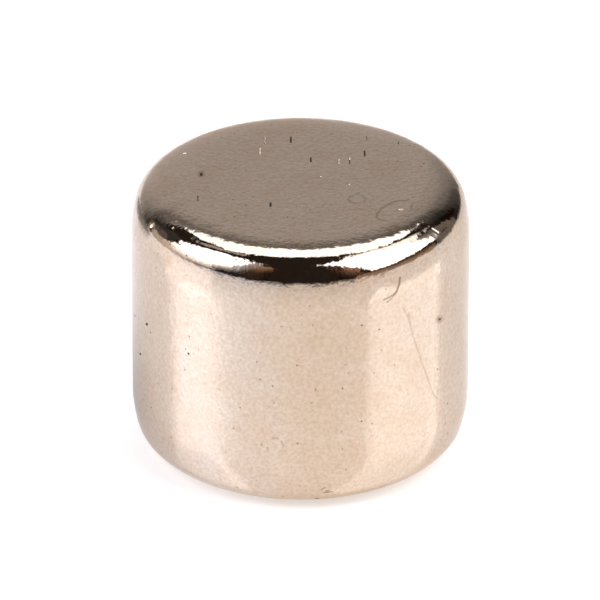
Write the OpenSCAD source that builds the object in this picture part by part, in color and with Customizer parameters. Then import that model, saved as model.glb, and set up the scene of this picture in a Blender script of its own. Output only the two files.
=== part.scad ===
// Disc magnet: one short sintered cylinder, tumbled and then plated all over.
// The origin is the middle of the lower face, and +Z runs along the axis.
// Lengths are in millimetres and angles in degrees.

/* [Disc] */
// Diameter over the plating
disc_d = 6; // [5:0.1:12]
// Height over the plating, from face to face
disc_h = 5; // [3:0.1:12]

/* [Tumbled edge] */
// Radius of the faint crown that begins where the flat of a face ends
crown_r = 3; // [1.5:0.1:4]
// Angle that the crown turns through
crown_turn = 6; // [2:1:10]
// Radius of the shoulder between the crown and the corner
shoulder_r = 1; // [0.7:0.05:1.4]
// Angle that the shoulder turns through
shoulder_turn = 14; // [5:1:20]
// Radius of the corner, the tightest stretch of the edge
corner_r = 0.48; // [0.2:0.02:0.6]
// Radius of the roll-off between the corner and the straight wall
rolloff_r = 2.2; // [1:0.1:2.4]
// Angle that the roll-off turns through
rolloff_turn = 14; // [5:1:18]

/* [Hidden] */
$fn = 180;

// Which way the surface faces, counted up from level, where one arc of the edge ends
// and the next begins
rolloff_to_corner = rolloff_turn;
corner_to_shoulder = 90 - crown_turn - shoulder_turn;
shoulder_to_crown = 90 - crown_turn;

// Depth by which the flatter of two arcs is set in where they meet, so that their
// circles cross at one clean point and don't only touch. It is far too small to see.
set_in = 0.00002;

// Distance from the centre of each arc to the centre of the next
corner_step = rolloff_r - corner_r + set_in;
shoulder_step = corner_r - shoulder_r - set_in;
crown_step = shoulder_r - crown_r - set_in;

// Top of the straight wall, level with the centre of the roll-off
wall_top = disc_h - crown_r - corner_step * sin(rolloff_to_corner)
    - shoulder_step * sin(corner_to_shoulder) - crown_step * sin(shoulder_to_crown);

// Moves from the centre of one arc to the centre of the next. Arcs that meet share a
// normal, and the step lies along it, so the edge runs on without a crease.
module step(facing, length) {
    rotate(facing) translate([length, 0]) rotate(-facing) children();
}

// The part of a disc on the wall's side of its radius at an angle
module wall_side(facing, r) {
    intersection() {
        circle(r);
        rotate(facing) translate([-2 * r, -2 * r]) square([4 * r, 2 * r]);
    }
}

// The part of a disc on the face's side of its radius at an angle
module face_side(facing, r) {
    intersection() {
        circle(r);
        rotate(facing) translate([-2 * r, 0]) square([4 * r, 2 * r]);
    }
}

// Everything below the top of the straight wall
module under_wall_top() {
    translate([rolloff_r - disc_d, -disc_h]) square([disc_d, disc_h]);
}

// Everything under the flat of the face
module under_flat() {
    translate([-disc_d, crown_r - disc_h]) square([disc_d, disc_h]);
}

// The wall, the four arcs of an edge and the face, each drawn about its own centre.
// The tighter arc of two that meet lies wholly within the flatter one, so only the
// flatter one is cut where they meet.
module edge_section() {
    translate([disc_d / 2 - rolloff_r, wall_top]) {
        under_wall_top();
        wall_side(rolloff_to_corner, rolloff_r);
        step(rolloff_to_corner, corner_step) {
            circle(corner_r);
            step(corner_to_shoulder, shoulder_step) {
                face_side(corner_to_shoulder, shoulder_r);
                step(shoulder_to_crown, crown_step) {
                    face_side(shoulder_to_crown, crown_r);
                    under_flat();
                }
            }
        }
    }
}

// The section to the right of the axis and above the middle of the height
module upper_section() {
    intersection() {
        edge_section();
        translate([0, disc_h / 2]) square([disc_d, disc_h]);
    }
}

// Both ends are tumbled alike, so the lower half mirrors the upper one
module section() {
    upper_section();
    translate([0, disc_h]) mirror([0, 1]) upper_section();
}

module disc_magnet() {
    color("#d2baa3") rotate_extrude() section();
}

disc_magnet();
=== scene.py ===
"""Disc magnet with a bright nickel plate, on a pale glossy sheet between soft windows."""

import math

import bmesh
import bpy
import numpy as np
from bpy.props import FloatProperty, FloatVectorProperty, IntProperty, PointerProperty
from mathutils import Matrix, Vector, noise


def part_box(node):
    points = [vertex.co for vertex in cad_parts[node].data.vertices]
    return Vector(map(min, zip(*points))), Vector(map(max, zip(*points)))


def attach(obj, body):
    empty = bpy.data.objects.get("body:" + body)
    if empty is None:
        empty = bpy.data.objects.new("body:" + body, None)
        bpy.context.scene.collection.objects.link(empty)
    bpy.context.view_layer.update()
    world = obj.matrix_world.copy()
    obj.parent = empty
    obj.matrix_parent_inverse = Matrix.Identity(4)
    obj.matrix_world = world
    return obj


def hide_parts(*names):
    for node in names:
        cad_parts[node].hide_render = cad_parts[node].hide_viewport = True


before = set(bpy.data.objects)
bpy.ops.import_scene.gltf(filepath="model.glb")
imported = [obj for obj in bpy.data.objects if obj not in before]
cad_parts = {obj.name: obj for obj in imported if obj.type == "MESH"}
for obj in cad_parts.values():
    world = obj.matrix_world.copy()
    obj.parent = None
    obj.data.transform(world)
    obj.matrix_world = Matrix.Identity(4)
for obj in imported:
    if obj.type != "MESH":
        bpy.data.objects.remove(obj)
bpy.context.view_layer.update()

bl_info = {
    "name": "Disc Magnet",
    "version": (1, 0, 0),
    "blender": (4, 5, 0),
    "location": "View3D > Sidebar > Magnet",
    "description": "Builds a nickel-plated disc magnet and its small photo stage",
    "category": "Add Mesh",
}

MM = 0.001
CAD_NODE = "disc_magnet"
LOW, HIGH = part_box(CAD_NODE)

# Marks on the upper face, in mm from its middle: x to the right, y away from the camera.
# Each row is half width, depth, grime from 0 to 1, and the points that the mark runs through.
FACE_MARKS = [
    # Dark slits, where a grain has pulled out and dirt has stayed.
    (0.018, 0.002, 1.00, [(-0.169, 1.745), (-0.169, 1.524)]),
    (0.019, 0.002, 1.00, [(0.187, 0.952), (0.187, 0.793)]),
    (0.016, 0.002, 0.75, [(0.871, 0.878), (0.871, 0.712)]),
    (0.018, 0.002, 1.00, [(1.137, 1.210), (1.143, 1.007)]),
    (0.018, 0.002, 0.90, [(1.745, 1.597), (1.745, 1.487)]),
    (0.016, 0.002, 0.80, [(-1.804, -0.487), (-1.797, -0.671)]),
    (0.014, 0.002, 0.50, [(1.182, 1.763), (1.182, 1.616)]),
    (0.024, 0.002, 1.00, [(-0.524, -0.745), (-0.524, -0.874)]),
    # Dirt at the lower end of the first bright slit.
    (0.018, 0.002, 0.80, [(-0.640, 1.490)]),
    # Small clean pits.
    (0.022, 0.006, 0.00, [(0.359, 0.232)]),
    (0.022, 0.006, 0.00, [(0.862, -0.063)]),
    (0.034, 0.009, 0.00, [(-2.075, 1.136), (-2.030, 1.136)]),
    (0.036, 0.010, 0.00, [(1.735, -1.003), (1.785, -1.003)]),
    # The one large pit, with a soft halo.
    (0.075, 0.001, 0.28, [(-1.750, 0.400), (-1.750, 0.250)]),
    (0.040, 0.003, 0.95, [(-1.750, 0.360), (-1.750, 0.290)]),
]

# Bright slits on the upper face: a row of small clean pits each, which all catch the light.
# Each row is x, the far and the near end of y, and the depth of the pits, in mm.
BRIGHT_SLITS = [
    (-0.622, 1.740, 1.505, 0.010),
    (-0.714, 1.310, 1.090, 0.006),
    (0.684, 0.890, 0.720, 0.009),
    (0.875, 0.930, 0.880, 0.006),
]
BRIGHT_PIT_HALF_WIDTH = 0.024
BRIGHT_PIT_SPACING = 0.050

# Marks on the wall: turn in degrees from the camera's side to the right, and height in mm.
WALL_MARKS = [
    # A hair-like scratch near the upper edge, which forks at its lower end.
    (0.026, 0.002, 0.62, [(35.8, 4.41), (35.3, 4.30), (34.0, 4.17), (32.9, 4.13)]),
    (0.019, 0.002, 0.50, [(32.9, 4.13), (30.9, 4.11), (29.0, 4.09)]),
    (0.017, 0.002, 0.42, [(33.6, 4.14), (31.6, 4.05), (30.2, 4.02)]),
    # A long fine scratch.
    (
        0.018,
        0.0006,
        0.22,
        [
            (36.7, 3.813),
            (39.1, 3.559),
            (41.2, 3.174),
            (43.3, 2.853),
            (45.5, 2.529),
            (47.7, 2.251),
            (50.3, 1.915),
            (51.9, 1.738),
            (53.6, 1.643),
        ],
    ),
    (0.015, 0.0006, 0.20, [(39.1, 3.680), (40.0, 3.430)]),
    # A dotted hair line low on the wall.
    (0.015, 0.001, 0.30, [(-9.4, 1.513), (-8.3, 1.518), (-7.3, 1.502)]),
    (0.015, 0.001, 0.34, [(-6.4, 1.450), (-5.6, 1.365)]),
    # A round grey pit, with a soft halo. Marks on the far sides run a little way along the turn,
    # so that they look round from the camera.
    (0.085, 0.001, 0.34, [(53.8, 3.233), (55.6, 3.190)]),
    (0.034, 0.002, 0.80, [(54.3, 3.220), (55.1, 3.202)]),
    # Pinholes with dirt in them.
    (0.026, 0.002, 1.00, [(-65.2, 2.848), (-64.0, 2.880)]),
    (0.022, 0.002, 0.90, [(-71.7, 2.070), (-70.3, 2.108)]),
    (0.018, 0.002, 0.60, [(-78.8, 2.645), (-77.2, 2.689)]),
    (0.030, 0.003, 0.85, [(-40.9, 2.816)]),
    (0.018, 0.004, 0.55, [(-40.4, 3.169)]),
    (0.018, 0.004, 0.55, [(-42.7, 2.457)]),
    (0.018, 0.004, 0.60, [(-49.1, 1.920)]),
    (0.020, 0.004, 0.65, [(-68.0, 1.254)]),
    (0.018, 0.004, 0.60, [(-64.6, 1.201)]),
    (0.020, 0.004, 0.60, [(-49.6, 0.940)]),
    (0.018, 0.004, 0.45, [(-42.3, 2.881)]),
    (0.016, 0.003, 0.45, [(-36.5, 2.975)]),
    (0.016, 0.003, 0.40, [(-28.3, 2.302)]),
    (0.020, 0.004, 0.55, [(-20.6, 2.038)]),
    (0.020, 0.004, 0.60, [(27.3, 3.521)]),
    (0.022, 0.004, 0.70, [(14.2, 2.478)]),
    (0.016, 0.003, 0.50, [(47.5, 3.028)]),
    (0.018, 0.004, 0.55, [(5.1, 2.512)]),
    (0.018, 0.004, 0.50, [(58.9, 1.020)]),
    (0.018, 0.003, 0.35, [(0.5, 4.000)]),
    (0.016, 0.003, 0.35, [(0.5, 3.800)]),
    # Brown specks.
    (0.022, 0.002, 0.45, [(-13.2, 1.350)]),
    (0.020, 0.002, 0.45, [(-11.1, 1.302)]),
    (0.022, 0.002, 0.40, [(13.9, 1.609)]),
    (0.018, 0.002, 0.40, [(14.2, 1.262)]),
]

# Marks on the rounded edges: turn as on the wall, and how far the surface leans there, in
# degrees from 0 on the upper face over 90 on the wall to 180 on the lower face.
EDGE_MARKS = [
    # Dents on the left of the upper edge.
    (0.090, 0.020, 0.00, [(-65.5, 55)]),
    (0.034, 0.007, 0.00, [(-56.0, 27)]),
    (0.070, 0.003, 0.12, [(-60.5, 50), (-57.0, 50)]),
    # A short scratch on its right, which flashes.
    (0.026, 0.008, 0.00, [(57.5, 35), (58.5, 48)]),
    # Two pinholes close to the lower face.
    (0.032, 0.004, 1.00, [(5.7, 135), (6.3, 135)]),
    (0.024, 0.003, 0.80, [(-21.5, 152)]),
    # A cluster of small chips.
    (0.016, 0.003, 0.50, [(7.3, 103), (8.5, 102)]),
    (0.018, 0.003, 0.65, [(8.8, 105), (9.7, 105)]),
    (0.017, 0.003, 0.55, [(8.0, 109), (9.3, 110), (10.7, 108)]),
    # Single dots near the lower edge.
    (0.020, 0.003, 0.50, [(15.5, 93)]),
    (0.020, 0.003, 0.50, [(-22.5, 111)]),
    (0.020, 0.003, 0.45, [(-50.0, 97)]),
    (0.020, 0.003, 0.45, [(-62.5, 151)]),
]

# Dried rims of drops on the upper face, thin and broken: half width, strength, and the points,
# in mm as above.
FACE_STAINS = [
    (
        0.030,
        0.62,
        [(0.931, -0.500), (0.866, -0.515), (0.842, -0.623), (0.885, -0.735), (1.006, -0.762)],
    ),
    (0.030, 0.50, [(1.006, -0.762), (1.118, -0.742), (1.141, -0.600), (1.075, -0.470)]),
    (0.024, 0.45, [(0.985, -0.395), (1.050, -0.440)]),
    (
        0.030,
        0.85,
        [(1.909, -0.617), (1.845, -0.665), (1.770, -0.650), (1.642, -0.712), (1.545, -0.800)],
    ),
    (0.030, 0.75, [(1.545, -0.800), (1.430, -0.945), (1.352, -1.130), (1.331, -1.284)]),
    (0.030, 0.62, [(1.331, -1.284), (1.400, -1.385), (1.530, -1.420)]),
    (0.026, 0.35, [(1.575, -1.405), (1.679, -1.347)]),
    (0.026, 0.60, [(1.990, -0.750), (1.950, -0.815), (1.935, -0.960)]),
]


def linear(hex_code):
    """The sRGB colour of a hex code as linear red, green and blue."""
    parts = [int(hex_code[i : i + 2], 16) / 255 for i in (1, 3, 5)]
    return tuple(p / 12.92 if p <= 0.04045 else ((p + 0.055) / 1.055) ** 2.4 for p in parts)


def add_node(tree, kind, inputs=None, stops=(), **settings):
    """Adds a node, sets its properties and grey stops, and gives each input a value or a link."""
    made = tree.nodes.new(kind)
    for name, value in settings.items():
        setattr(made, name, value)
    # A new ramp has two stops already.
    for _ in stops[2:]:
        made.color_ramp.elements.new(0.5)
    for index, (place, level) in enumerate(stops):
        made.color_ramp.elements[index].position = place
        made.color_ramp.elements[index].color = (level, level, level, 1)
    for name, value in (inputs or {}).items():
        if isinstance(value, bpy.types.NodeSocket):
            tree.links.new(value, made.inputs[name])
        else:
            made.inputs[name].default_value = value
    return made


def new_material(name):
    """An empty node material and its tree."""
    material = bpy.data.materials.new(name)
    material.use_nodes = True
    material.node_tree.nodes.clear()
    return material, material.node_tree


def new_object(name, bm, material, smooth=False):
    """Puts a finished bmesh into the scene as an object at the origin."""
    for face in bm.faces:
        face.smooth = smooth
    mesh = bpy.data.meshes.new(name)
    bm.to_mesh(mesh)
    bm.free()
    mesh.materials.append(material)
    made = bpy.data.objects.new(name, mesh)
    bpy.context.scene.collection.objects.link(made)
    return made


class MagnetShape(bpy.types.PropertyGroup):
    """Sizes of the magnet. The four arcs lead from each flat face to the wall."""

    diameter: FloatProperty(
        name="Diameter",
        description="Width of the disc across its wall, a hair inside the solid's own facets",
        default=2 * min(-LOW.x, HIGH.x, -LOW.y, HIGH.y) - 0.0002 * MM,
        unit="LENGTH",
    )
    height: FloatProperty(
        name="Height",
        description="Distance between the two flat faces",
        default=HIGH.z - LOW.z,
        unit="LENGTH",
    )
    crown_radius: FloatProperty(
        name="Crown radius",
        description="Radius of the arc that leaves the flat face",
        default=3.0 * MM,
        unit="LENGTH",
    )
    crown_turn: FloatProperty(
        name="Crown turn",
        description="Angle that the crown turns through",
        default=math.radians(6),
        subtype="ANGLE",
    )
    shoulder_radius: FloatProperty(
        name="Shoulder radius",
        description="Radius of the arc between the crown and the corner",
        default=1.0 * MM,
        unit="LENGTH",
    )
    shoulder_turn: FloatProperty(
        name="Shoulder turn",
        description="Angle that the shoulder turns through",
        default=math.radians(14),
        subtype="ANGLE",
    )
    corner_radius: FloatProperty(
        name="Corner radius",
        description="Radius of the tight arc in the middle of the edge",
        default=0.48 * MM,
        unit="LENGTH",
    )
    rolloff_radius: FloatProperty(
        name="Roll-off radius",
        description="Radius of the slow arc that runs into the wall",
        default=2.2 * MM,
        unit="LENGTH",
    )
    rolloff_turn: FloatProperty(
        name="Roll-off turn",
        description="Angle that the roll-off turns through",
        default=math.radians(14),
        subtype="ANGLE",
    )
    sides: IntProperty(
        name="Sides",
        description="Number of steps that the section is spun in",
        default=360,
        min=24,
    )
    edge_ripple: FloatProperty(
        name="Edge ripple",
        description="Depth of the uneven places that tumbling leaves along the edge",
        default=0.006 * MM,
        unit="LENGTH",
    )
    face_ripple: FloatProperty(
        name="Face ripple",
        description="Depth of the slow unevenness of the faces and the wall",
        default=0.0015 * MM,
        unit="LENGTH",
    )
    ripple_size: FloatProperty(
        name="Ripple size",
        description="Distance between one uneven place and the next",
        default=0.35 * MM,
        unit="LENGTH",
    )


class PlatingFinish(bpy.types.PropertyGroup):
    """Look of the nickel plate."""

    nickel: FloatVectorProperty(
        name="Nickel",
        description="Colour of the clean plate",
        subtype="COLOR",
        default=linear("#d7c5b5"),
        min=0,
        max=1,
    )
    edge_tint: FloatVectorProperty(
        name="Edge tint",
        description="Share of the light that the plate keeps where it is seen at a grazing angle",
        subtype="COLOR",
        default=linear("#f3f0ef"),
        min=0,
        max=1,
    )
    tarnish: FloatVectorProperty(
        name="Tarnish",
        description="Colour of the slightly warmer places",
        subtype="COLOR",
        default=linear("#d0b69e"),
        min=0,
        max=1,
    )
    speck: FloatVectorProperty(
        name="Specks",
        description="Colour of the small brown specks",
        subtype="COLOR",
        default=linear("#b3957c"),
        min=0,
        max=1,
    )
    grime: FloatVectorProperty(
        name="Grime",
        description="Colour of the thickest dirt in pits and scratches",
        subtype="COLOR",
        default=linear("#170c06"),
        min=0,
        max=1,
    )
    thin_grime: FloatVectorProperty(
        name="Thin grime",
        description="Colour of a thin film of dirt",
        subtype="COLOR",
        default=linear("#6f4627"),
        min=0,
        max=1,
    )
    stain: FloatVectorProperty(
        name="Stain",
        description="Colour of the dried rings on the upper face",
        subtype="COLOR",
        default=linear("#a3917c"),
        min=0,
        max=1,
    )
    edge_roughness: FloatProperty(
        name="Edge roughness",
        description="Roughness of the tumbled edges",
        default=0.06,
        min=0,
        max=1,
    )
    wall_roughness: FloatProperty(
        name="Wall roughness",
        description="Roughness of the wall, which was ground before it was plated",
        default=0.14,
        min=0,
        max=1,
    )
    grime_roughness: FloatProperty(
        name="Grime roughness",
        description="Roughness that the thickest dirt adds to the plate's own",
        default=0.40,
        min=0,
        max=1,
    )
    warmth: FloatProperty(
        name="Warmth",
        description="How far the plate turns to tarnish in the warmest clouds",
        default=0.5,
        min=0,
        max=1,
    )
    cloud_size: FloatProperty(
        name="Cloud size",
        description="Spacing of the warmer clouds",
        default=0.6 * MM,
        unit="LENGTH",
    )
    mottling: FloatProperty(
        name="Mottling",
        description="How far the plate turns to the colour of the specks in the darkest of them",
        default=0.5,
        min=0,
        max=1,
    )
    mottle_size: FloatProperty(
        name="Mottle size",
        description="Spacing of the fine mottling, where the plate is thinner or thicker",
        default=0.060 * MM,
        unit="LENGTH",
    )
    grain_size: FloatProperty(
        name="Grain size",
        description="Spacing of the small bumps of the plate",
        default=0.10 * MM,
        unit="LENGTH",
    )
    grain_height: FloatProperty(
        name="Grain height",
        description="Height of the small bumps of the plate on the flat faces",
        default=0.0065 * MM,
        unit="LENGTH",
    )
    pinhole_spacing: FloatProperty(
        name="Pinhole spacing",
        description="Usual distance between one pinhole and the next",
        default=0.22 * MM,
        unit="LENGTH",
    )
    pinhole_radius: FloatProperty(
        name="Pinhole radius",
        description="Radius of the largest of the scattered pinholes",
        default=0.024 * MM,
        unit="LENGTH",
    )


class StageSettings(bpy.types.PropertyGroup):
    """Floor, backdrop and windows round the magnet."""

    floor: FloatVectorProperty(
        name="Floor",
        description="Colour of the glossy sheet that the magnet stands on",
        subtype="COLOR",
        default=linear("#f3f0ec"),
        min=0,
        max=1,
    )
    floor_lift: FloatProperty(
        name="Floor lift",
        description="Light that the camera sees in the floor on top of its own, where 1 is white",
        default=0.42,
        min=0,
    )
    floor_in_metal: FloatVectorProperty(
        name="Floor in the metal",
        description="Colour of the sheet under its gloss, as the magnet mirrors it",
        subtype="COLOR",
        default=linear("#c9c4bd"),
        min=0,
        max=1,
    )
    lift_in_metal: FloatProperty(
        name="Lift in the metal",
        description="Light that the metal mirrors in the floor on top of its own, where 1 is white",
        default=0.59,
        min=0,
        max=1,
    )
    window_light: FloatProperty(
        name="Window light",
        description="Light of the soft windows, where 1 is white",
        default=2.6,
        min=0,
    )
    distance: FloatProperty(
        name="Distance",
        description="How far the windows stand from the magnet",
        default=0.300,
        unit="LENGTH",
    )
    camera_distance: FloatProperty(
        name="Camera distance",
        description="Distance from the camera to the middle of the magnet",
        default=0.150,
        unit="LENGTH",
    )
    camera_elevation: FloatProperty(
        name="Camera elevation",
        description="Angle of the camera above the floor",
        default=math.radians(28.8),
        subtype="ANGLE",
    )


class MAGNET_OT_build_disc(bpy.types.Operator):
    """Model the disc with its tumbled edges and its small marks"""

    bl_idname = "magnet.build_disc"
    bl_label = "Build Disc"

    # Rings of a flat face, steps of each arc from the face to the wall, and rings of half the wall.
    FACE_RINGS = 28
    ARC_STEPS = (7, 6, 14, 10)
    WALL_RINGS = 22
    # Each round of finer cuts: how far it reaches past the rim of a mark, and the cuts in an edge.
    FINER_CUTS = ((0.027 * MM, 2), (0.004 * MM, 2))

    def execute(self, context):
        shape = context.scene.magnet_shape
        bm = bmesh.new()
        self.draw_section(bm, shape)
        self.spin_section(bm, shape)
        marks = self.placed_marks(shape)
        self.refine(bm, shape, marks)
        self.wear(bm, shape, marks)
        bmesh.ops.translate(bm, verts=bm.verts, vec=(0, 0, shape.height / 2 + LOW.z))
        plating = plating_material(context.scene.plating_finish, shape)
        disc = new_object("magnet_disc", bm, plating, smooth=True)
        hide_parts(CAD_NODE)
        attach(disc, "root")
        return {"FINISHED"}

    @staticmethod
    def arcs(shape):
        """Radius and turn of each arc, from the flat face to the wall."""
        corner_turn = math.pi / 2 - shape.crown_turn - shape.shoulder_turn - shape.rolloff_turn
        return [
            (shape.crown_radius, shape.crown_turn),
            (shape.shoulder_radius, shape.shoulder_turn),
            (shape.corner_radius, corner_turn),
            (shape.rolloff_radius, shape.rolloff_turn),
        ]

    def edge_reach(self, shape, lean=math.pi / 2):
        """How far out and down the edge has come from the flat face, up to where it leans so."""
        width = drop = start = 0.0
        for radius, turn in self.arcs(shape):
            end = min(start + turn, max(start, lean))
            width += radius * (math.sin(end) - math.sin(start))
            drop += radius * (math.cos(start) - math.cos(end))
            start += turn
        return width, drop

    def onto_curve(self, vert, shape):
        """Puts a new point of the wall or of an edge back on its true curve."""
        width, drop = self.edge_reach(shape)
        out, up = math.hypot(vert.co.x, vert.co.y), abs(vert.co.z)
        if up <= shape.height / 2 - drop:
            vert.co.xy *= shape.diameter / 2 / out
            return
        lean = 0.0
        for radius, turn in self.arcs(shape):
            reached, fallen = self.edge_reach(shape, lean)
            middle_out = shape.diameter / 2 - width + reached - radius * math.sin(lean)
            middle_up = shape.height / 2 - fallen - radius * math.cos(lean)
            angle = math.atan2(out - middle_out, up - middle_up)
            if lean <= angle <= lean + turn:
                vert.co.xy *= (middle_out + radius * math.sin(angle)) / out
                vert.co.z = math.copysign(middle_up + radius * math.cos(angle), vert.co.z)
                return
            lean += turn

    @staticmethod
    def run_straight(bm, tip, way, pieces):
        """Draws a straight run from tip, in equal pieces, and returns its new end."""
        for _ in range(pieces):
            tip = bmesh.ops.extrude_vert_indiv(bm, verts=[tip])["verts"][0]
            bmesh.ops.translate(bm, verts=[tip], vec=way / pieces)
        return tip

    def draw_section(self, bm, shape):
        """Draws the section on the XZ plane about mid height: half of it, and its mirror image."""
        width, _ = self.edge_reach(shape)
        tip = bmesh.ops.create_vert(bm, co=(0, 0, shape.height / 2))["vert"][0]
        face_radius = shape.diameter / 2 - width
        tip = self.run_straight(bm, tip, Vector((face_radius, 0, 0)), self.FACE_RINGS)
        lean = 0.0
        for (radius, turn), steps in zip(self.arcs(shape), self.ARC_STEPS):
            facing = Vector((math.sin(lean), 0, math.cos(lean)))
            turned = bmesh.ops.spin(
                bm,
                geom=[tip],
                cent=tip.co - radius * facing,
                axis=(0, 1, 0),
                angle=turn,
                steps=steps,
                use_merge=False,
            )
            tip = next(g for g in turned["geom_last"] if isinstance(g, bmesh.types.BMVert))
            lean += turn
        self.run_straight(bm, tip, Vector((0, 0, -tip.co.z)), self.WALL_RINGS)
        bmesh.ops.mirror(
            bm,
            geom=bm.verts[:] + bm.edges[:],
            matrix=Matrix.Identity(4),
            merge_dist=0.0001 * MM,
            axis="Z",
        )

    @staticmethod
    def spin_section(bm, shape):
        """Spins the section about Z and closes the two poles."""
        bmesh.ops.spin(
            bm,
            geom=bm.verts[:] + bm.edges[:],
            cent=(0, 0, 0),
            axis=(0, 0, 1),
            angle=math.tau,
            steps=shape.sides,
            use_merge=True,
        )
        bmesh.ops.remove_doubles(bm, verts=bm.verts, dist=0.00002 * MM)
        bmesh.ops.recalc_face_normals(bm, faces=bm.faces)

    def placed_marks(self, shape):
        """Every mark as half width, depth, grime, stain and points, in metres about mid height."""
        rows = []
        for surface, marks in (
            (self.on_face, FACE_MARKS),
            (self.on_wall, WALL_MARKS),
            (self.on_edge, EDGE_MARKS),
        ):
            for half_width, depth, grime, path in marks:
                rows.append((half_width, depth, grime, 0.0, [surface(shape, *at) for at in path]))
        for x, far, near, depth in BRIGHT_SLITS:
            for y in np.arange(near, far, BRIGHT_PIT_SPACING):
                rows.append((BRIGHT_PIT_HALF_WIDTH, depth, 0.0, 0.0, [self.on_face(shape, x, y)]))
        for half_width, strength, path in FACE_STAINS:
            points = [self.on_face(shape, *at) for at in path]
            rows.append((half_width, 0.0, 0.0, strength, points))
        return [(w * MM, d * MM, grime, stain, np.array(path)) for w, d, grime, stain, path in rows]

    @staticmethod
    def on_face(shape, x, y):
        """The point of the upper face at x and y in mm."""
        return x * MM, y * MM, shape.height / 2

    def on_wall(self, shape, turn, height):
        """The point at a turn and at a height in mm, on the wall or a roll-off next to it."""
        _, drop = self.edge_reach(shape)
        up = height * MM - shape.height / 2
        past_wall = max(0.0, abs(up) - shape.height / 2 + drop)
        rolled_in = shape.rolloff_radius - math.sqrt(shape.rolloff_radius**2 - past_wall**2)
        return self.turned(turn, shape.diameter / 2 - rolled_in, up)

    def on_edge(self, shape, turn, lean):
        """The point at a turn where a rounded edge leans so many degrees from the upper face."""
        width, _ = self.edge_reach(shape)
        reached, fallen = self.edge_reach(shape, math.radians(min(lean, 180 - lean)))
        up = shape.height / 2 - fallen
        return self.turned(turn, shape.diameter / 2 - width + reached, up if lean < 90 else -up)

    @staticmethod
    def turned(turn, radius, height):
        """A point at so many degrees from the camera's side to the right."""
        return math.sin(math.radians(turn)) * radius, -math.cos(math.radians(turn)) * radius, height

    @staticmethod
    def distance_to(path, places):
        """Distance from each place to the line through the path's points."""
        if len(path) == 1:
            return np.linalg.norm(places - path[0], axis=1)
        nearest = np.full(len(places), np.inf)
        for start, end in zip(path[:-1], path[1:]):
            along = end - start
            share = np.clip((places - start) @ along / (along @ along), 0, 1)
            gap = np.linalg.norm(places - start - share[:, None] * along, axis=1)
            nearest = np.minimum(nearest, gap)
        return nearest

    def refine(self, bm, shape, marks):
        """Cuts the mesh finer round each mark, and puts the new points back on its curve."""
        for margin, cuts in self.FINER_CUTS:
            bm.faces.ensure_lookup_table()
            centres = np.array([f.calc_center_median() for f in bm.faces])
            chosen = np.zeros(len(centres), bool)
            for half_width, _, _, _, path in marks:
                chosen |= self.distance_to(path, centres) < half_width + margin
            edges = {e for i in np.flatnonzero(chosen) for e in bm.faces[i].edges}
            cut = bmesh.ops.subdivide_edges(bm, edges=list(edges), cuts=cuts, use_grid_fill=True)
            for vert in {g for g in cut["geom_inner"] if isinstance(g, bmesh.types.BMVert)}:
                self.onto_curve(vert, shape)
        # A fan in each face with extra corners leaves no sliver along its straight rim.
        many_sided = [f for f in bm.faces if len(f.verts) > 4]
        for vert in bmesh.ops.poke(bm, faces=many_sided)["verts"]:
            self.onto_curve(vert, shape)

    def wear(self, bm, shape, marks):
        """Moves each point inwards by the ripple and the marks, and notes grime and stain on it."""
        grime_layer = bm.verts.layers.float.new("grime")
        stain_layer = bm.verts.layers.float.new("stain")
        bm.normal_update()
        verts = list(bm.verts)
        places = np.array([v.co for v in verts])
        grime, stain, depth = (np.zeros(len(verts)) for _ in range(3))
        for half_width, deep, dirty, stained, path in marks:
            reach = np.clip(1 - (self.distance_to(path, places) / half_width) ** 2, 0, 1)
            depth = np.maximum(depth, deep * reach**2)
            grime = np.maximum(grime, dirty * np.sqrt(reach))
            stain = np.maximum(stain, stained * reach)
        width, drop = self.edge_reach(shape)
        for i, vert in enumerate(verts):
            inset = shape.diameter / 2 - math.hypot(vert.co.x, vert.co.y)
            fall = shape.height / 2 - abs(vert.co.z)
            on_edge = min(1.0, 2 * max(0.0, 1 - inset / width) * max(0.0, 1 - fall / drop))
            # Noise about 0.5 in three layers, each half the size and half the height of the last.
            uneven = 0.5 + 0.5 * noise.fractal(vert.co / shape.ripple_size, 1.0, 2.0, 3)
            ripple = shape.face_ripple + (shape.edge_ripple - shape.face_ripple) * on_edge
            vert[grime_layer] = grime[i]
            vert[stain_layer] = stain[i]
            vert.co -= vert.normal * (ripple * min(1.0, max(0.0, uneven)) + depth[i])


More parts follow.
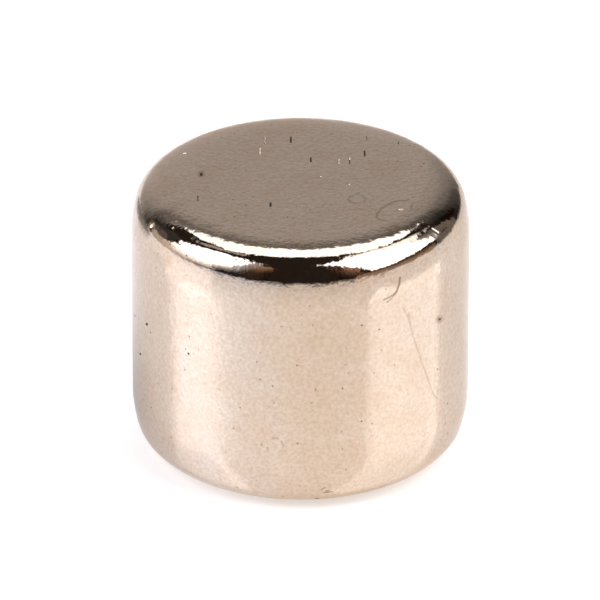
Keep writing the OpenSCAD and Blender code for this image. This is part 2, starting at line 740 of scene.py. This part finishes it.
def plating_material(finish, shape):
    """Bright nickel plate over a tumbled, sintered disc.

    Sintering leaves fine bumps and pinholes, tumbling rounds the edges, and the plate
    follows both, so the eye gets a warm mirror with a faint orange peel and dark specks.
    """
    material, tree = new_material("bright nickel plate")
    place = add_node(tree, "ShaderNodeTexCoord").outputs["Object"]
    grime = add_node(tree, "ShaderNodeAttribute", attribute_name="grime").outputs["Fac"]
    stain = add_node(tree, "ShaderNodeAttribute", attribute_name="stain").outputs["Fac"]

    # Warmer clouds, as thin tarnish makes them, over the brighter part of a noise.
    clouds = add_node(
        tree,
        "ShaderNodeTexNoise",
        {"Vector": place, "Scale": 1 / finish.cloud_size, "Detail": 4.0, "Roughness": 0.7},
    )
    warmth = add_node(
        tree,
        "ShaderNodeMapRange",
        {
            "Value": clouds.outputs["Fac"],
            "From Min": 0.42,
            "From Max": 0.68,
            "To Max": finish.warmth,
        },
    )
    plate = add_node(
        tree,
        "ShaderNodeMix",
        {"Factor": warmth.outputs["Result"], "A": (*finish.nickel, 1), "B": (*finish.tarnish, 1)},
        data_type="RGBA",
    )
    # Mottling a few hundredths of a millimetre wide, where the plate is thinner or thicker.
    fine = add_node(
        tree,
        "ShaderNodeTexNoise",
        {"Vector": place, "Scale": 1 / finish.mottle_size, "Detail": 2.0, "Roughness": 0.5},
    )
    specks = add_node(
        tree,
        "ShaderNodeMapRange",
        {
            "Value": fine.outputs["Fac"],
            "From Min": 0.32,
            "From Max": 0.80,
            "To Max": finish.mottling,
        },
    )
    # Pinholes of the sintered body: each cell of the pattern holds one, dark at its middle.
    cells = add_node(
        tree,
        "ShaderNodeTexVoronoi",
        {"Vector": place, "Scale": 1 / finish.pinhole_spacing, "Randomness": 1.0},
    )
    pinhole = add_node(
        tree,
        "ShaderNodeMapRange",
        {
            "Value": cells.outputs["Distance"],
            "From Min": 0.3 * finish.pinhole_radius / finish.pinhole_spacing,
            "From Max": finish.pinhole_radius / finish.pinhole_spacing,
            "To Min": 1.0,
            "To Max": 0.0,
        },
    )
    chance = add_node(tree, "ShaderNodeSeparateColor", {"Color": cells.outputs["Color"]})
    pinholes = add_node(
        tree,
        "ShaderNodeMath",
        {0: pinhole.outputs["Result"], 1: chance.outputs["Red"]},
        operation="MULTIPLY",
    )
    dirt = add_node(tree, "ShaderNodeMath", {0: grime, 1: pinholes.outputs[0]}, operation="MAXIMUM")
    speckled = add_node(
        tree,
        "ShaderNodeMix",
        {"Factor": specks.outputs["Result"], "A": plate.outputs["Result"], "B": (*finish.speck, 1)},
        data_type="RGBA",
    )
    ringed = add_node(
        tree,
        "ShaderNodeMix",
        {"Factor": stain, "A": speckled.outputs["Result"], "B": (*finish.stain, 1)},
        data_type="RGBA",
    )
    # Thin dirt is brown, and thick dirt is nearly black.
    dirt_colour = add_node(
        tree,
        "ShaderNodeMix",
        {"Factor": dirt.outputs[0], "A": (*finish.thin_grime, 1), "B": (*finish.grime, 1)},
        data_type="RGBA",
    )
    dirty = add_node(
        tree,
        "ShaderNodeMix",
        {
            "Factor": dirt.outputs[0],
            "A": ringed.outputs["Result"],
            "B": dirt_colour.outputs["Result"],
        },
        data_type="RGBA",
    )

    # The wall is satin from grinding up to 1.40 mm from mid height, and the edges are bright from
    # tumbling beyond 1.65 mm.
    middle = LOW.z + shape.height / 2
    height = add_node(tree, "ShaderNodeSeparateXYZ", {"Vector": place}).outputs["Z"]
    above_middle = add_node(tree, "ShaderNodeMath", {0: height, 1: middle}, operation="SUBTRACT")
    from_middle = add_node(
        tree,
        "ShaderNodeMath",
        {0: above_middle.outputs[0]},
        operation="ABSOLUTE",
    )
    roughness = add_node(
        tree,
        "ShaderNodeMapRange",
        {
            "Value": from_middle.outputs[0],
            "From Min": 1.40 * MM,
            "From Max": 1.65 * MM,
            "To Min": finish.wall_roughness,
            "To Max": finish.edge_roughness,
        },
    )
    rough = add_node(
        tree,
        "ShaderNodeMath",
        {0: dirt.outputs[0], 1: finish.grime_roughness, 2: roughness.outputs["Result"]},
        operation="MULTIPLY_ADD",
    )

    # Orange peel of the plate, at the spacing of the sintered grain under it.
    grain = add_node(
        tree,
        "ShaderNodeTexNoise",
        {"Vector": place, "Scale": 1 / finish.grain_size, "Detail": 2.0, "Roughness": 0.55},
    )
    # It is strongest on the flat faces, and tumbling has worn it down on the edges.
    share = add_node(
        tree,
        "ShaderNodeMapRange",
        {"Value": from_middle.outputs[0], "From Min": 0.0, "From Max": shape.height / 2},
    )
    worn = add_node(
        tree,
        "ShaderNodeValToRGB",
        {"Fac": share.outputs["Result"]},
        stops=[(0.0, 0.75), (0.60, 0.75), (0.72, 0.50), (0.992, 0.50), (0.998, 1.0), (1.0, 1.0)],
    )
    peel = add_node(
        tree,
        "ShaderNodeBump",
        {
            "Height": grain.outputs["Fac"],
            "Strength": worn.outputs["Color"],
            "Distance": finish.grain_height,
        },
    )
    shader = add_node(
        tree,
        "ShaderNodeBsdfPrincipled",
        {
            "Base Color": dirty.outputs["Result"],
            "Metallic": 1.0,
            "Roughness": rough.outputs[0],
            "Specular Tint": (*finish.edge_tint, 1),
            "Normal": peel.outputs["Normal"],
        },
    )
    add_node(tree, "ShaderNodeOutputMaterial", {"Surface": shader.outputs["BSDF"]})
    return material


class MAGNET_OT_set_stage(bpy.types.Operator):
    """Lay the floor, hang the backdrop, and place the windows and the camera"""

    bl_idname = "magnet.set_stage"
    bl_label = "Set Stage"

    # The picture shows 10.66 mm across at the magnet.
    PICTURE_WIDTH = 10.66 * MM
    # Where the camera aims, from the magnet's middle: to the right and up in the picture.
    AIM = (-0.009 * MM, 0.126 * MM)
    FLOOR_RADIUS = 1.0
    # Each window: name, azimuth from straight behind to the right, how far out, how high, width
    # and height as shares of the distance, tilt towards the magnet, roll, shape and colour.
    WINDOWS = [
        ("left", -102.5, 0.72, 0.80, 0.77, 1.00, 28, 4, "ELLIPSE", (0.79, 0.84, 0.98)),
        ("right", 105, 0.74, 1.09, 1.06, 1.62, 20, 4, "RECTANGLE", (0.77, 0.81, 0.86)),
        ("back", 0, 0.540, 0.85, 0.60, 0.40, 57, 2, "RECTANGLE", (0.64, 0.70, 0.75)),
    ]

    # Share of a card's light from its left to its right, or from its foot to its top.
    EVEN = [(0.0, 1.0), (1.0, 1.0)]
    BACKDROP_ACROSS = [
        (0.0, 0.10),
        (0.11, 0.32),
        (0.24, 0.66),
        (0.37, 0.98),
        (0.51, 1.0),
        (0.54, 0.90),
        (0.59, 0.62),
        (0.64, 0.44),
        (0.70, 0.19),
        (0.77, 0.11),
        (0.84, 0.04),
    ]
    BACKDROP_UPWARDS = [
        (0.0, 0.73),
        (0.24, 0.58),
        (0.53, 0.485),
        (0.615, 0.45),
        (0.69, 0.35),
        (0.76, 0.24),
        (0.83, 0.17),
        (0.90, 0.24),
        (1.0, 0.50),
    ]
    PALE_ACROSS = [
        (0.0, 0.22),
        (0.10, 0.32),
        (0.29, 0.70),
        (0.53, 1.0),
        (0.76, 0.68),
        (0.92, 0.62),
        (1.0, 0.20),
    ]
    DUSK_UPWARDS = [(0.0, 1.0), (0.17, 0.55), (0.34, 0.33), (0.50, 0.20), (0.75, 0.24), (1.0, 0.30)]
    SOFT = [(0.0, 0.25), (0.30, 1.0), (0.70, 1.0), (1.0, 0.25)]
    BROWN_UPWARDS = [(0.0, 1.0), (0.42, 1.0), (0.60, 0.50), (1.0, 0.40)]
    LEFT_POST_ACROSS = [(0.0, 0.15), (0.22, 0.45), (0.50, 0.90), (0.67, 1.0), (1.0, 1.0)]
    LEFT_POST_UPWARDS = [
        (0.0, 0.11),
        (0.15, 0.13),
        (0.24, 0.15),
        (0.35, 0.22),
        (0.47, 0.45),
        (0.60, 0.75),
        (0.80, 1.0),
    ]
    RIGHT_POST_ACROSS = [(0.0, 1.0), (0.20, 0.75), (0.50, 0.33), (0.80, 0.12), (1.0, 0.05)]
    RIGHT_POST_UPWARDS = [(0.0, 0.12), (0.06, 0.25), (0.15, 0.40), (0.28, 0.70), (0.42, 1.0)]
    FOOT_ACROSS = [(0.0, 0.45), (0.15, 0.90), (0.30, 1.0), (0.85, 1.0), (1.0, 0.80)]
    FOOT_UPWARDS = [(0.0, 0.36), (0.14, 0.46), (0.245, 0.60), (0.355, 0.72), (0.465, 0.82), (0.66, 1.0)]
    SIDE_ACROSS = [(0.0, 0.09), (0.27, 0.18), (0.54, 0.38), (0.77, 0.62), (1.0, 0.97)]
    SIDE_UPWARDS = [
        (0.0, 0.05),
        (0.05, 0.13),
        (0.09, 0.27),
        (0.125, 0.41),
        (0.165, 0.59),
        (0.20, 0.67),
        (0.27, 0.73),
        (0.36, 0.93),
        (0.59, 1.0),
        (0.76, 0.73),
        (1.0, 0.30),
    ]
    RIGHT_ACROSS = [(0.0, 0.06), (0.35, 0.18), (0.60, 0.50), (1.0, 1.0)]
    RIGHT_UPWARDS = [(0.0, 0.15), (0.10, 0.35), (0.30, 0.80), (0.60, 1.0)]
    CORNER_ACROSS = [(0.0, 0.20), (0.10, 0.45), (0.20, 0.75), (0.40, 1.0), (1.0, 1.0)]
    CORNER_UPWARDS = [(0.0, 0.45), (0.03, 0.80), (0.08, 1.0), (0.60, 1.0), (0.85, 0.60), (1.0, 0.30)]
    # Glowing cards, painted light and shade of the room that the metal mirrors: name, azimuth of its
    # middle, distance as a share of that of the windows, half width, lowest and highest elevation in
    # degrees, light, and its shares across and upwards.
    CARDS = [
        ("backdrop", 0, 1.0, 53.13, 0, 46, (1.02, 1.0, 0.99), BACKDROP_ACROSS, BACKDROP_UPWARDS),
        ("pale card", -86.5, 1.3, 31.5, 0.5, 17, (0.90, 0.80, 0.73), PALE_ACROSS, EVEN),
        ("left dusk", -64, 1.3, 10, 17, 42, (0.22, 0.20, 0.19), EVEN, DUSK_UPWARDS),
        ("left glow", -48, 1.25, 11, 54, 70, (0.50, 0.50, 0.50), SOFT, EVEN),
        ("right dusk", 63, 1.3, 12, 0.5, 42, (0.20, 0.18, 0.165), EVEN, EVEN),
        ("dark card", 45.5, 1.25, 5, 15, 29, (0.014, 0.006, 0.004), EVEN, EVEN),
        ("brown card", 112, 1.3, 32, 0.5, 14, (0.38, 0.26, 0.19), EVEN, BROWN_UPWARDS),
        ("left post", -150, 1.3, 9, 3, 58, (0.40, 0.26, 0.165), LEFT_POST_ACROSS, LEFT_POST_UPWARDS),
        ("right post", 147, 1.3, 8, 8, 58, (0.60, 0.38, 0.27), RIGHT_POST_ACROSS, RIGHT_POST_UPWARDS),
        ("left window foot", -101, 1.25, 22, 4, 30, (2.3, 2.35, 2.55), FOOT_ACROSS, FOOT_UPWARDS),
        ("left window side", -131, 1.25, 11, 8, 66, (3.4, 3.5, 3.75), SIDE_ACROSS, SIDE_UPWARDS),
        ("right window side", 70, 1.25, 9, 14, 45, (2.2, 2.3, 2.4), RIGHT_ACROSS, RIGHT_UPWARDS),
        ("right window corner", 54, 1.25, 16, 45, 74, (2.1, 2.15, 2.2), CORNER_ACROSS, CORNER_UPWARDS),
    ]
    # Light of the floor that the metal sees, out from the magnet, where 1 is its usual light.
    FLOOR_FADE = [
        (0.0, 1.08),
        (0.034, 1.10),
        (0.046, 1.18),
        (0.08, 1.02),
        (0.13, 1.0),
        (0.50, 1.0),
        (0.80, 0.60),
        (1.0, 0.25),
    ]
    FLOOR_FADE_RADIUS = 100 * MM
    WARM_GLOW = (1.0, 0.955, 0.90, 1)
    # Cool light of the windows on the sheet, from the magnet's left to its right.
    COOL_GLOW = (0.25, 0.55, 1.0, 1)
    SIDE_GLOW = [
        (0.0, 0.20),
        (0.10, 0.27),
        (0.18, 0.29),
        (0.32, 0.17),
        (0.46, 0.05),
        (0.60, 0.0),
        (0.80, 0.03),
        (0.90, 0.08),
        (1.0, 0.13),
    ]
    # Soft oval shades on the sheet: the middle in mm, the turn in degrees, half the width and half
    # the length in mm, and the light left over from the middle outwards. The first is the magnet's
    # own, and the second lies far behind its left.
    SHADES = [
        (
            (-2.8, 1.7),
            0,
            (6, 6),
            [
                (0.0, 0.58),
                (0.20, 0.64),
                (0.35, 0.75),
                (0.50, 0.85),
                (0.67, 0.93),
                (0.83, 0.98),
                (1.0, 1.0),
            ],
        ),
        (
            (-112, 100),
            48,
            (21, 137),
            [(0.0, 0.28), (0.90, 0.30), (0.955, 0.55), (0.975, 0.75), (1.0, 1.0)],
        ),
    ]
    # The rest of the room, as the metal mirrors it.
    ROOM_COLOUR = (1.0, 0.75, 0.6, 1)
    ROOM_LIGHT = 0.026

    def execute(self, context):
        settings = context.scene.stage_settings
        self.lay_floor(settings)
        for card in self.CARDS:
            self.hang_card(settings, *card)
        for window in self.WINDOWS:
            self.place_window(settings, *window)
        self.light_room()
        self.place_camera(context.scene, settings)
        context.scene.view_settings.view_transform = "Standard"
        return {"FINISHED"}

    def lay_floor(self, settings):
        """A round sheet under the magnet."""
        bm = bmesh.new()
        bmesh.ops.create_circle(bm, cap_ends=True, segments=96, radius=self.FLOOR_RADIUS)
        bmesh.ops.translate(bm, verts=bm.verts, vec=(0, 0, LOW.z))
        new_object("floor", bm, self.floor_material(settings))

    @classmethod
    def floor_material(cls, settings):
        """Cast acrylic, pale and glossy: the metal mirrors its gloss with painted light and painted
        shade on it, the camera sees it plain.
        """
        material, tree = new_material("pale cast acrylic")
        seen = add_node(tree, "ShaderNodeLightPath")
        place = add_node(tree, "ShaderNodeTexCoord").outputs["Object"]
        gloss = add_node(
            tree,
            "ShaderNodeBsdfPrincipled",
            {"Base Color": (*settings.floor_in_metal, 1), "Roughness": 0.12, "IOR": 1.8},
        )
        # Light that fades outwards.
        out = add_node(tree, "ShaderNodeVectorMath", {0: place}, operation="LENGTH")
        share = add_node(
            tree,
            "ShaderNodeMapRange",
            {"Value": out.outputs["Value"], "From Min": 0.0, "From Max": cls.FLOOR_FADE_RADIUS},
        )
        fade = add_node(
            tree,
            "ShaderNodeValToRGB",
            {"Fac": share.outputs["Result"]},
            stops=cls.FLOOR_FADE,
        )
        glow = add_node(
            tree,
            "ShaderNodeEmission",
            {"Color": cls.WARM_GLOW, "Strength": fade.outputs["Color"]},
        )
        lift = add_node(
            tree,
            "ShaderNodeMixShader",
            {0: settings.lift_in_metal, 2: glow.outputs[0]},
        )
        # Cool light, strongest on the left.
        way = add_node(tree, "ShaderNodeVectorMath", {0: place}, operation="NORMALIZE")
        sideways = add_node(tree, "ShaderNodeSeparateXYZ", {"Vector": way.outputs["Vector"]})
        round_share = add_node(
            tree,
            "ShaderNodeMapRange",
            {"Value": sideways.outputs["X"], "From Min": -1.0, "From Max": 1.0},
        )
        side = add_node(
            tree,
            "ShaderNodeValToRGB",
            {"Fac": round_share.outputs["Result"]},
            stops=cls.SIDE_GLOW,
        )
        cool = add_node(
            tree,
            "ShaderNodeEmission",
            {"Color": cls.COOL_GLOW, "Strength": side.outputs["Color"]},
        )
        lights = add_node(tree, "ShaderNodeAddShader", {0: lift.outputs[0], 1: cool.outputs[0]})
        in_metal = add_node(tree, "ShaderNodeAddShader", {0: gloss.outputs[0], 1: lights.outputs[0]})
        # A mix with nothing dims the light inside each shade.
        for (x, y), turn, (half_width, half_length), stops in cls.SHADES:
            oval = add_node(
                tree,
                "ShaderNodeMapping",
                {
                    "Vector": place,
                    "Location": (x * MM, y * MM, LOW.z),
                    "Rotation": (0, 0, math.radians(turn)),
                    "Scale": (half_width * MM, half_length * MM, 1),
                },
                vector_type="TEXTURE",
            )
            away = add_node(
                tree,
                "ShaderNodeVectorMath",
                {0: oval.outputs["Vector"]},
                operation="LENGTH",
            )
            shade = add_node(tree, "ShaderNodeValToRGB", {"Fac": away.outputs["Value"]}, stops=stops)
            in_metal = add_node(
                tree,
                "ShaderNodeMixShader",
                {0: shade.outputs["Color"], 2: in_metal.outputs[0]},
            )
        plain = add_node(tree, "ShaderNodeBsdfDiffuse", {"Color": (*settings.floor, 1)})
        white = add_node(
            tree,
            "ShaderNodeEmission",
            {"Color": (1.0, 0.99, 0.975, 1), "Strength": settings.floor_lift},
        )
        in_picture = add_node(tree, "ShaderNodeAddShader", {0: plain.outputs[0], 1: white.outputs[0]})
        other = add_node(
            tree,
            "ShaderNodeMixShader",
            {0: seen.outputs["Is Glossy Ray"], 1: gloss.outputs[0], 2: in_metal.outputs[0]},
        )
        mixed = add_node(
            tree,
            "ShaderNodeMixShader",
            {0: seen.outputs["Is Camera Ray"], 1: other.outputs[0], 2: in_picture.outputs[0]},
        )
        add_node(tree, "ShaderNodeOutputMaterial", {"Surface": mixed.outputs[0]})
        return material

    @staticmethod
    def hang_card(settings, name, azimuth, share, half_width, low, high, light, across, upwards):
        """A flat card that glows with painted light, which the metal mirrors. The camera sees it white,
        like the floor.
        """
        far = settings.distance * share
        bottom, top = (far * math.tan(math.radians(e)) for e in (low, high))
        bm = bmesh.new()
        bm.loops.layers.uv.new("across and up")
        bmesh.ops.create_grid(bm, x_segments=1, y_segments=1, size=0.5, calc_uvs=True)
        width = 2 * far * math.tan(math.radians(half_width))
        bmesh.ops.scale(bm, verts=bm.verts, vec=(width, top - bottom, 1))
        bmesh.ops.rotate(bm, verts=bm.verts, matrix=Matrix.Rotation(math.pi / 2, 3, "X"))
        bmesh.ops.translate(bm, verts=bm.verts, vec=(0, far, (bottom + top) / 2 + LOW.z))
        bmesh.ops.rotate(bm, verts=bm.verts, matrix=Matrix.Rotation(-math.radians(azimuth), 3, "Z"))
        material, tree = new_material(name)
        seen = add_node(tree, "ShaderNodeLightPath").outputs["Is Camera Ray"]
        place = add_node(tree, "ShaderNodeTexCoord").outputs["UV"]
        split = add_node(tree, "ShaderNodeSeparateXYZ", {"Vector": place})
        sideways = add_node(tree, "ShaderNodeValToRGB", {"Fac": split.outputs["X"]}, stops=across)
        up = add_node(tree, "ShaderNodeValToRGB", {"Fac": split.outputs["Y"]}, stops=upwards)
        strength = add_node(
            tree,
            "ShaderNodeMath",
            {0: sideways.outputs["Color"], 1: up.outputs["Color"]},
            operation="MULTIPLY",
        )
        glow = add_node(
            tree,
            "ShaderNodeEmission",
            {"Color": (*light, 1), "Strength": strength.outputs[0]},
        )
        white = add_node(tree, "ShaderNodeEmission", {"Color": (1, 1, 1, 1), "Strength": 1.0})
        mixed = add_node(
            tree,
            "ShaderNodeMixShader",
            {0: seen, 1: glow.outputs[0], 2: white.outputs[0]},
        )
        add_node(tree, "ShaderNodeOutputMaterial", {"Surface": mixed.outputs[0]})
        new_object(name, bm, material)

    @staticmethod
    def place_window(settings, name, azimuth, out, up, width, height, tilt, roll, shape, colour):
        """One soft window, turned to the magnet."""
        lamp = bpy.data.lights.new("window " + name, "AREA")
        lamp.shape = shape
        lamp.color = colour
        lamp.size = width * settings.distance
        lamp.size_y = height * settings.distance
        area = lamp.size * lamp.size_y * (math.pi / 4 if shape == "ELLIPSE" else 1)
        # A lamp of four watts on one square metre shows as 1, which is white.
        lamp.energy = 4 * area * settings.window_light
        turn = math.radians(azimuth)
        spot = bpy.data.objects.new(lamp.name, lamp)
        spot.location = Vector((math.sin(turn) * out, math.cos(turn) * out, up)) * settings.distance
        rolled = Matrix.Rotation(math.radians(roll), 4, "Z")
        leaning = Matrix.Rotation(math.radians(tilt - 90), 4, "X") @ rolled
        spot.rotation_euler = (Matrix.Rotation(-turn, 4, "Z") @ leaning).to_euler()
        bpy.context.scene.collection.objects.link(spot)

    @classmethod
    def light_room(cls):
        """The rest of the room is dim and slightly warm, and the camera sees it white."""
        world = bpy.data.worlds.new("dim room")
        world.use_nodes = True
        tree = world.node_tree
        tree.nodes.clear()
        seen = add_node(tree, "ShaderNodeLightPath").outputs["Is Camera Ray"]
        dim = add_node(
            tree,
            "ShaderNodeBackground",
            {"Color": cls.ROOM_COLOUR, "Strength": cls.ROOM_LIGHT},
        )
        white = add_node(tree, "ShaderNodeBackground", {"Color": (1, 1, 1, 1), "Strength": 1.0})
        mixed = add_node(
            tree,
            "ShaderNodeMixShader",
            {0: seen, 1: dim.outputs[0], 2: white.outputs[0]},
        )
        add_node(tree, "ShaderNodeOutputWorld", {"Surface": mixed.outputs[0]})
        bpy.context.scene.world = world

    def place_camera(self, scene, settings):
        """A long lens from the front, tilted down at the magnet."""
        lens = bpy.data.cameras.new("camera")
        lens.sensor_width = 36
        lens.lens = lens.sensor_width * settings.camera_distance / self.PICTURE_WIDTH
        lens.clip_start, lens.clip_end = 0.001, 10
        rise = settings.camera_elevation
        back = Vector((0, -math.cos(rise), math.sin(rise)))
        up = Vector((0, math.sin(rise), math.cos(rise)))
        aim = (LOW + HIGH) / 2 + Vector((self.AIM[0], 0, 0)) + up * self.AIM[1]
        camera = bpy.data.objects.new("camera", lens)
        camera.location = aim + back * settings.camera_distance
        camera.rotation_euler = (math.pi / 2 - rise, 0, 0)
        scene.collection.objects.link(camera)
        scene.camera = camera


class MAGNET_PT_sidebar(bpy.types.Panel):
    """Buttons for the magnet and its stage"""

    bl_label = "Disc Magnet"
    bl_space_type = "VIEW_3D"
    bl_region_type = "UI"
    bl_category = "Magnet"

    def draw(self, context):
        layout = self.layout
        for group in (context.scene.magnet_shape, context.scene.plating_finish):
            for name in group.__annotations__:
                layout.prop(group, name)
        layout.operator(MAGNET_OT_build_disc.bl_idname)
        for name in context.scene.stage_settings.__annotations__:
            layout.prop(context.scene.stage_settings, name)
        layout.operator(MAGNET_OT_set_stage.bl_idname)


CLASSES = (
    MagnetShape,
    PlatingFinish,
    StageSettings,
    MAGNET_OT_build_disc,
    MAGNET_OT_set_stage,
    MAGNET_PT_sidebar,
)


def register():
    for cls in CLASSES:
        bpy.utils.register_class(cls)
    bpy.types.Scene.magnet_shape = PointerProperty(type=MagnetShape)
    bpy.types.Scene.plating_finish = PointerProperty(type=PlatingFinish)
    bpy.types.Scene.stage_settings = PointerProperty(type=StageSettings)


def unregister():
    del bpy.types.Scene.stage_settings
    del bpy.types.Scene.plating_finish
    del bpy.types.Scene.magnet_shape
    for cls in reversed(CLASSES):
        bpy.utils.unregister_class(cls)


def main():
    """Builds everything in order."""
    register()
    bpy.ops.magnet.build_disc()
    bpy.ops.magnet.set_stage()


if __name__ == "__main__":
    main()
